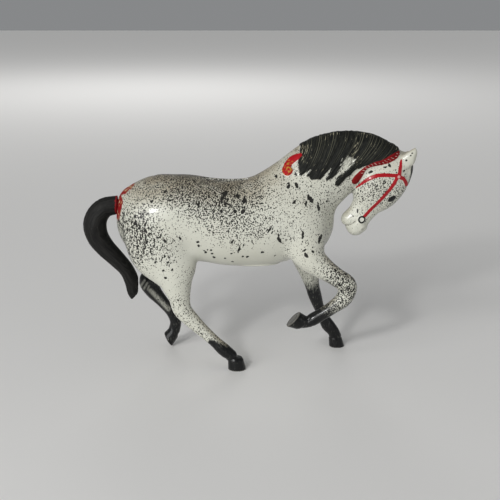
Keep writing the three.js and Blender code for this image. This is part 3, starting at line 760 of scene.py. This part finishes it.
def speckle_share(x, z):
    """Shares of fine and coarse speckle, blended between the places of the table."""
    total = np.full(len(x), 1e-4)
    fine = np.full(len(x), 2e-6)
    coarse = np.zeros(len(x))
    for cx, cz, fine_share, coarse_share in SPECKLE:
        weight = np.exp(-((x - cx) ** 2 + (z - cz) ** 2) / SPECKLE_REACH ** 2)
        total += weight
        fine += weight * fine_share
        coarse += weight * coarse_share
    return fine / total, coarse / total


def noise_edge(share):
    """The level above which a noise of mean a half covers the given share of a surface."""
    share = np.clip(share, 0.002, 0.7)
    return 0.5 - 0.062 * np.log(share / (1 - share))


def body_paint(points, outside):
    """The numbers that the body's paint is mixed from, one per vertex."""
    x, y, z = points.T
    found = features(points)
    sole = np.full(len(x), 9.0)
    sole_radius = np.full(len(x), 9.0)
    for facts in HOOVES:
        level, radius = hoof_place(points, facts)
        near = radius < facts[3] + 2
        sole = np.where(near, np.abs(level), sole)
        sole_radius = np.where(near, radius, sole_radius)
    fine, coarse = speckle_share(x, z)
    del found["tassel_along"]
    return {
        **found,
        "ochre": np.hypot(x - 27.8, z - 150.5) + 0.4 * np.abs(np.abs(y) - 12),
        "depth": -outside.sample(points)[0],
        "black": leg_black(points),
        "pale": pale_strokes(points),
        "fine": noise_edge(fine),
        "coarse": noise_edge(coarse),
        "dashes": noise_edge(spread(DASHES, x, z)),
        "spots": spot_distance(x, z),
        "sole": sole,
        "sole_radius": sole_radius,
        "patch": nearest_line(CHIPPED, x, z),
    }


def add_object(name, data):
    thing = bpy.data.objects.new(name, data)
    bpy.context.scene.collection.objects.link(thing)
    return thing


def make_object(name, points, faces, attributes, body):
    """A mesh object from millimetres, with its paint numbers, riding on a CAD body."""
    mesh = bpy.data.meshes.new(name)
    mesh.from_pydata((points / 1000).tolist(), [], faces)
    mesh.update()
    for key, values in attributes.items():
        layer = mesh.attributes.new(key, "FLOAT", "POINT")
        layer.data.foreach_set("value", np.asarray(values, np.float32))
    mesh.polygons.foreach_set("use_smooth", np.ones(len(mesh.polygons), bool))
    mesh.set_sharp_from_angle(angle=math.radians(48))
    thing = add_object(name, mesh)
    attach(thing, body)
    return thing


def half_of(points, faces, side):
    """The part of a closed mesh on one side of the seam, with the cut closed."""
    mesh = bpy.data.meshes.new("whole")
    mesh.from_pydata(points.tolist(), [], faces.tolist())
    work = bmesh.new()
    work.from_mesh(mesh)
    bpy.data.meshes.remove(mesh)
    everything = work.verts[:] + work.edges[:] + work.faces[:]
    bmesh.ops.bisect_plane(
        work, geom=everything, dist=1e-4, plane_co=(0, side * SEAM, 0), plane_no=(0, -side, 0),
        clear_outer=True,
    )
    edges = [e for e in work.edges if e.is_boundary]
    bmesh.ops.triangle_fill(work, use_beauty=True, edges=edges, normal=(0, -side, 0))
    bmesh.ops.recalc_face_normals(work, faces=work.faces[:])
    work.verts.index_update()
    kept = np.array([v.co for v in work.verts])
    rings = [[v.index for v in face.verts] for face in work.faces]
    work.free()
    return kept, rings


class Shader:
    """A principled material and short ways of adding nodes to it."""

    def __init__(self, name):
        self.material = bpy.data.materials.new(name)
        self.material.use_nodes = True
        self.nodes = self.material.node_tree.nodes
        self.links = self.material.node_tree.links
        self.surface = self.nodes["Principled BSDF"]

    def feed(self, node, inputs):
        """Links or sets some inputs of a node."""
        for key, value in inputs.items():
            if isinstance(value, bpy.types.NodeSocket):
                self.links.new(value, node.inputs[key])
            else:
                node.inputs[key].default_value = value
        return node

    def node(self, kind, inputs=None, **settings):
        node = self.nodes.new("ShaderNode" + kind)
        for key, value in settings.items():
            setattr(node, key, value)
        return self.feed(node, inputs or {})

    def number(self, name):
        """A paint number stored on the mesh."""
        return self.node("Attribute", attribute_name=name).outputs["Fac"]

    def math(self, operation, a, b=0.0):
        return self.node("Math", {0: a, 1: b}, operation=operation).outputs[0]

    def plus(self, a, b):
        return self.math("ADD", a, b)

    def minus(self, a, b):
        return self.math("SUBTRACT", a, b)

    def times(self, a, b):
        return self.math("MULTIPLY", a, b)

    def largest(self, first, *others):
        for other in others:
            first = self.math("MAXIMUM", first, other)
        return first

    def step(self, value, low, high):
        """0 at low and 1 at high, smooth between."""
        inputs = {"Value": value, "From Min": low, "From Max": high}
        return self.node("MapRange", inputs, interpolation_type="SMOOTHSTEP").outputs["Result"]

    def noise(self, place, scale, detail=2.0, roughness=0.5):
        inputs = {"Vector": place, "Scale": scale, "Detail": detail, "Roughness": roughness}
        return self.node("TexNoise", inputs).outputs["Fac"]

    def place(self, stretch=(1, 1, 1), lean=0):
        """Object coordinates, stretched and turned about y by some degrees."""
        coordinates = self.node("TexCoord").outputs["Object"]
        inputs = {"Vector": coordinates, "Scale": stretch, "Rotation": (0, math.radians(lean), 0)}
        return self.node("Mapping", inputs).outputs["Vector"]

    def combine(self, x, y):
        return self.node("CombineXYZ", {"X": x, "Y": y}).outputs[0]

    def mix(self, factor, under, over):
        """A colour between two others."""
        inputs = {0: factor, 6: rgba(under), 7: rgba(over)}
        return self.node("Mix", inputs, data_type="RGBA").outputs[2]

    def blend(self, factor, under, over):
        """A number between two others."""
        return self.node("Mix", {0: factor, 2: under, 3: over}, data_type="FLOAT").outputs[0]

    def bump(self, height, strength, distance, under=None):
        """Normals roughened by a height, over other normals if there are any."""
        inputs = {"Height": height, "Strength": strength, "Distance": distance}
        if under is not None:
            inputs["Normal"] = under
        return self.node("Bump", inputs).outputs[0]

    def finish(self, colour, roughness, **others):
        """Feeds the surface and gives the material. Other inputs go by their own names."""
        self.feed(self.surface, {"Base Color": rgba(colour), "Roughness": roughness, **others})
        return self.material


def rgba(colour):
    return colour if isinstance(colour, bpy.types.NodeSocket) else (*colour, 1)


class BodyPaint(Shader):
    """The material of the two halves, with what its layers of paint share."""

    def __init__(self):
        super().__init__("dapple_paint")
        self.here = self.place()
        self.wobble = self.minus(self.noise(self.here, 1100, 3), 0.5)
        along = self.times(self.number("strand_along"), 0.10)
        self.strand = self.combine(self.number("strand_across"), along)

    def under(self, name, edge=0.0, soft=0.12, rough=0.9):
        """1 where a distance is under an edge, along a slightly wavering brush line."""
        distance = self.plus(self.number(name), self.times(self.wobble, rough))
        return self.step(distance, edge + soft, edge - soft)

    def marks(self, name, tall, lean, *noise):
        """1 where a stretched noise stands above the level that a paint number gives."""
        level = self.noise(self.place((1, 1, tall), lean), *noise)
        return self.step(self.minus(level, self.number(name)), -0.008, 0.008)


def ground(s):
    """Cream, with painted shade darkening what faces up, in patches."""
    cream = s.mix(s.noise(s.here, 30, 3), CREAM_SHADE, CREAM)
    normal = s.node("NewGeometry").outputs["Normal"]
    facing = s.node("SeparateXYZ", {0: normal}).outputs["Z"]
    # Painted shade: the cream turns warm brown where the surface faces up
    painted_top_shade = s.times(s.step(facing, 0.25, 0.95), s.step(s.noise(s.here, 60, 3), 0.1, 0.6))
    return s.mix(s.times(painted_top_shade, 0.85), cream, UPWARD_SHADE_CREAM)


def dapples(s, colour):
    """Fine and coarse speckle, slanting dashes and single spots."""
    fine = s.marks("fine", 0.85, 25, 1130, 1.6, 0.6)
    coarse = s.marks("coarse", 0.7, 20, 640, 1.6, 0.55)
    dashes = s.marks("dashes", 0.4, 22, 900, 1.0, 0.5)
    ragged = s.times(s.minus(s.noise(s.here, 480, 3, 0.6), 0.5), 2.4)
    spots = s.step(s.plus(s.number("spots"), ragged), -0.02, -0.16)
    ink = s.mix(s.noise(s.here, 240, 2), INK, INK_THIN)
    return s.mix(s.times(s.largest(fine, coarse, dashes, spots), 0.985), colour, ink)


def legs(s, colour):
    """Airbrushed black legs with pale wiped strokes, and ringed soles."""
    grain = s.minus(s.noise(s.place((1, 1, 0.35), 20), 900, 2), 0.5)
    level = s.plus(s.number("black"), s.times(grain, 0.9))
    black = s.times(s.step(level, 0.08, 0.95), s.step(s.number("black"), 0.01, 0.12))
    wiped = s.times(s.number("pale"), s.plus(grain, 0.42))
    colour = s.mix(s.times(black, s.minus(1.0, wiped)), colour, BLACK)
    rings = s.step(s.math("SINE", s.times(s.number("sole_radius"), 3.6)), 0.2, 0.9)
    sole = s.mix(s.times(rings, 0.75), SOLE_GREY, SOLE_RING)
    return s.mix(s.step(s.number("sole"), 0.7, 0.4), colour, sole)


def mane_mask(s):
    """1 on the mane, torn into strands at its lower edge."""
    strand = s.combine(s.number("strand_across"), s.times(s.number("strand_along"), 0.06))
    torn = s.times(s.minus(s.noise(strand, 3.4, 2), 0.5), s.number("torn"))
    return s.step(s.plus(s.number("mane"), torn), 0.12, -0.12)


def mane_hair(s, mane, colour):
    """Charcoal strands, worn through to cream in streaks, and the black forelock."""
    streak = s.noise(s.strand, 1.9, 3, 0.6)
    patchy = s.minus(s.noise(s.here, 85, 2), 0.5)
    worn = s.step(s.plus(streak, s.times(patchy, 0.7)), 0.665, 0.72)
    lines = s.step(s.noise(s.combine(s.number("strand_across"), 0.0), 1.5, 1, 0.5), 0.56, 0.62)
    crest = s.step(s.number("strand_along"), 8, 22)
    hair = s.mix(s.step(streak, 0.35, 0.65), MANE_BLACK, MANE_GREY)
    hair = s.mix(s.times(s.times(lines, crest), 0.5), hair, MANE_PALE)
    hair = s.mix(s.times(worn, 0.8), hair, WORN_CREAM)
    return s.mix(s.under("forelock", soft=0.3), s.mix(mane, colour, hair), MANE_BLACK)


def cord_and_tassel(s, colour):
    """The plaited cord with its pale flecks, and the tassel with its ochre ones."""
    across = s.number("braid_across")
    along = s.number("braid_along")
    plait = s.math("SINE", s.plus(s.times(along, 2.5), s.times(across, 1.9)))
    plait = s.times(plait, s.step(s.math("ABSOLUTE", across), 1.5, 0.9))
    plait = s.times(plait, s.step(along, 34, 30))
    fleck = s.times(s.step(plait, 0.70, 0.90), s.step(s.noise(s.here, 520, 1), 0.44, 0.50))
    cord = s.mix(s.noise(s.here, 400, 2), CORD_RED, CORD_SHADE)
    cord = s.mix(s.times(fleck, 0.8), cord, CORD_FLECK)
    colour = s.mix(s.under("braid", rough=0.5), colour, cord)
    ochre = s.times(s.step(s.number("ochre"), 8, 3.5), s.step(s.noise(s.here, 620, 2), 0.50, 0.58))
    tassel = s.mix(ochre, s.mix(s.noise(s.here, 300, 2), HARNESS_RED, CORD_RED), OCHRE)
    return s.mix(s.under("tassel", rough=0.6), colour, tassel)


def face(s, colour):
    """Straps, mouth, rosette, bit ring and eye."""
    straps = s.mix(s.noise(s.here, 260, 2), HARNESS_RED, HARNESS_SHADE)
    colour = s.mix(s.under("straps", rough=0.6), colour, straps)
    colour = s.mix(s.times(s.under("mouth", edge=0.3, soft=0.25), 0.8), colour, MOUTH_SHADE)
    colour = s.mix(s.under("rosette", edge=1.15, rough=0.5), colour, ROSETTE_PINK)
    colour = s.mix(s.under("ring", edge=2.85, rough=0.5), colour, BLACK)
    colour = s.mix(s.under("ring", edge=1.65, rough=0.4), colour, CREAM)
    return s.mix(s.under("eye", rough=0.3), colour, EYE_BLACK)


def wear(s, bare, colour):
    """The chipped red patch at the tail, and bare metal inside."""
    chips = s.mix(s.noise(s.here, 200, 1), WORN_CREAM, OCHRE)
    patch = s.mix(s.step(s.noise(s.here, 420, 3), 0.56, 0.62), WORN_RED, chips)
    colour = s.mix(s.under("patch", soft=0.2, rough=3.0), colour, patch)
    return s.mix(bare, colour, s.mix(s.noise(s.here, 300, 3), BARE_METAL, BARE_SHADE))


def body_material():
    s = BodyPaint()
    mane = mane_mask(s)
    bare = s.step(s.number("depth"), 1.3, 2.0)
    matt = s.largest(s.under("braid"), s.under("tassel"), s.under("patch", rough=3.0))
    colour = legs(s, dapples(s, ground(s)))
    colour = cord_and_tassel(s, mane_hair(s, mane, colour))
    colour = wear(s, bare, face(s, colour))
    roughness = s.blend(matt, s.blend(mane, 0.30, 0.55), 0.55)
    roughness = s.blend(bare, s.blend(s.under("eye"), roughness, 0.12), 0.6)
    brushed = s.bump(s.noise(s.here, 170, 3, 0.55), 0.16, 0.0008)
    combed = s.bump(s.times(s.noise(s.strand, 3.2, 3, 0.6), mane), 0.7, 0.0006, brushed)
    grained = s.bump(s.noise(s.here, 500, 3), s.times(bare, 0.5), 0.0005, combed)
    others = {
        "Metallic": s.times(bare, 0.7),
        "Normal": grained,
        "Specular IOR Level": 0.1,
        "Coat Weight": s.times(s.minus(1.0, s.largest(mane, matt, bare)), 0.42),
        "Coat Roughness": 0.14,
    }
    return s.finish(colour, roughness, **others)


def tail_material():
    s = Shader("charcoal_paint")
    here = s.place()
    lines = s.noise(s.combine(s.number("comb_across"), s.times(s.number("comb_along"), 0.05)), 1.5, 3, 0.6)
    colour = s.mix(s.step(lines, 0.35, 0.7), TAIL_BLACK, TAIL_GREY)
    scuff = s.step(s.noise(here, 320, 3), 0.72, 0.76)
    colour = s.mix(s.times(scuff, 0.5), colour, TAIL_SCUFF)
    distance = s.plus(s.number("patch"), s.times(s.minus(s.noise(here, 420, 3), 0.5), 3))
    colour = s.mix(s.step(distance, 0.25, -0.25), colour, WORN_RED)
    combed = s.bump(lines, 0.5, 0.0008)
    brushed = s.bump(s.noise(here, 260, 3), 0.12, 0.0006, combed)
    return s.finish(colour, 0.5, **{"Normal": brushed, "Specular IOR Level": 0.12})


def metal_material(name, colour, roughness, metallic=1.0):
    s = Shader(name)
    here = s.place((1, 1, 6))
    shade = s.mix(s.noise(here, 300, 3), colour, tuple(0.72 * c for c in colour))
    uneven = s.blend(s.noise(here, 200, 2), roughness - 0.06, roughness + 0.1)
    return s.finish(shade, uneven, Metallic=metallic)


# Body halves
outside = outside_field()
casting = casting_field(outside)
points, quads = casting.surface()
points, outward = casting.settle(points)
depth = -outside.sample(points)[0]
facts = features(points)
raised = relief(points, facts) * ramp(depth, 0.9, 0.4)
points = points + outward * raised[:, None]
points[:, 2] = np.where(points[:, 2] < 0.35, 0, points[:, 2])
paint = body_material()
for side, name in ((-1, "right_body_half"), (1, "left_body_half")):
    kept, rings = half_of(points, quads, side)
    half = make_object(name + "_skin", kept, rings, body_paint(kept, outside), "bank")
    half.data.materials.append(paint)
    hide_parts(name)

# Tail
tail_field = Field(*TAIL_BOX, TAIL_CELL)
tail_field.limb(TAIL, 0)
x, _, z = tail_field.window(*TAIL_BOX)[1]
tail_field.values = np.where(z > 108, np.maximum(tail_field.values, x + 97.0), tail_field.values)
tail_field.join((-100, -8, 112), (-86, 8, 130), rod_distance(0, 4, -98, -87, TAIL_ROOT))
tail_field.join((-94, -8, 112), (-88, 8, 130), rod_distance(0, 6, -92.3, -90.3, TAIL_ROOT))
points, quads = tail_field.surface()
points, outward = tail_field.settle(points)
spine = [(station[0], station[2]) for station in TAIL]
x, y, z = points.T
_, comb_along, comb_across = near_line(spine, x, z)
comb_across = comb_across + 0.9 * np.abs(y)
combed = 0.22 * wander(comb_across / 1.5 + 0.5 * wander(comb_along / 14, 21), 22)
combed *= ramp(x, -96.8, -99) + ramp(z, 108, 100)
points = points + outward * np.clip(combed, -0.25, 0.25)[:, None]
x, _, z = points.T
patch = near_line([(-97, 131), (-97, 112)], x, z)[0] - 1.2
numbers = {"comb_across": comb_across, "comb_along": comb_along, "patch": patch}
tail = make_object("tail_skin", points, quads.tolist(), numbers, "bank")
tail.data.materials.append(tail_material())
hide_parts("tail")

# Metal fittings keep their CAD shapes
looks = {
    "steel": metal_material("steel", STEEL_GREY, 0.34),
    "trap_paint": metal_material("trap_paint", TRAP_BLACK, 0.42, 0.4),
    "brass": metal_material("brass", BRASS_YELLOW, 0.32),
}
for part in frame["record"]["subparts"]:
    node = frame["nodes"][part["node"]]
    if part["material_slot"] in looks:
        node.data.materials.clear()
        node.data.materials.append(looks[part["material_slot"]])

# Floor, light and camera
floor_mesh = bpy.data.meshes.new("floor")
floor_mesh.from_pydata([(-8, -8, 0), (8, -8, 0), (8, 8, 0), (-8, 8, 0)], [], [(0, 1, 2, 3)])
floor = add_object("floor", floor_mesh)
floor.data.materials.append(Shader("floor").finish(FLOOR_PALE, 0.8))
bpy.context.scene.view_settings.view_transform = "Standard"

world = bpy.data.worlds.new("studio")
world.use_nodes = True
world.node_tree.nodes["Background"].inputs["Color"].default_value = rgba(SKY)
world.node_tree.nodes["Background"].inputs["Strength"].default_value = 0.28
bpy.context.scene.world = world

# Round lamps shine all ways, so they leave no edge on the floor
for name, place, radius, power, glossy in LAMPS:
    lamp = bpy.data.lights.new(name, "POINT")
    lamp.shadow_soft_size = radius
    lamp.energy = power
    thing = add_object(name, lamp)
    thing.location = place
    thing.visible_camera = False
    thing.visible_glossy = glossy

daylight = bpy.data.lights.new("daylight", "SUN")
daylight.energy = 2.05
daylight.angle = 0.9
sun = add_object("daylight", daylight)
sun.rotation_euler = (math.radians(72), 0, math.radians(-36))

# The camera looks at AIM from 0.7 m, 15 degrees up
AIM = Vector((0.001, 0, 0.0857))
camera_data = bpy.data.cameras.new("camera")
camera_data.sensor_width = 36
camera_data.lens = 18 / math.tan(math.radians(15))
camera = add_object("camera", camera_data)
bpy.context.scene.camera = camera
height = math.radians(15)
back = Vector((0, -math.cos(height), math.sin(height)))
camera.location = AIM + back * 0.7
camera.rotation_mode = "QUATERNION"
camera.rotation_quaternion = (-back).to_track_quat("-Z", "Y")
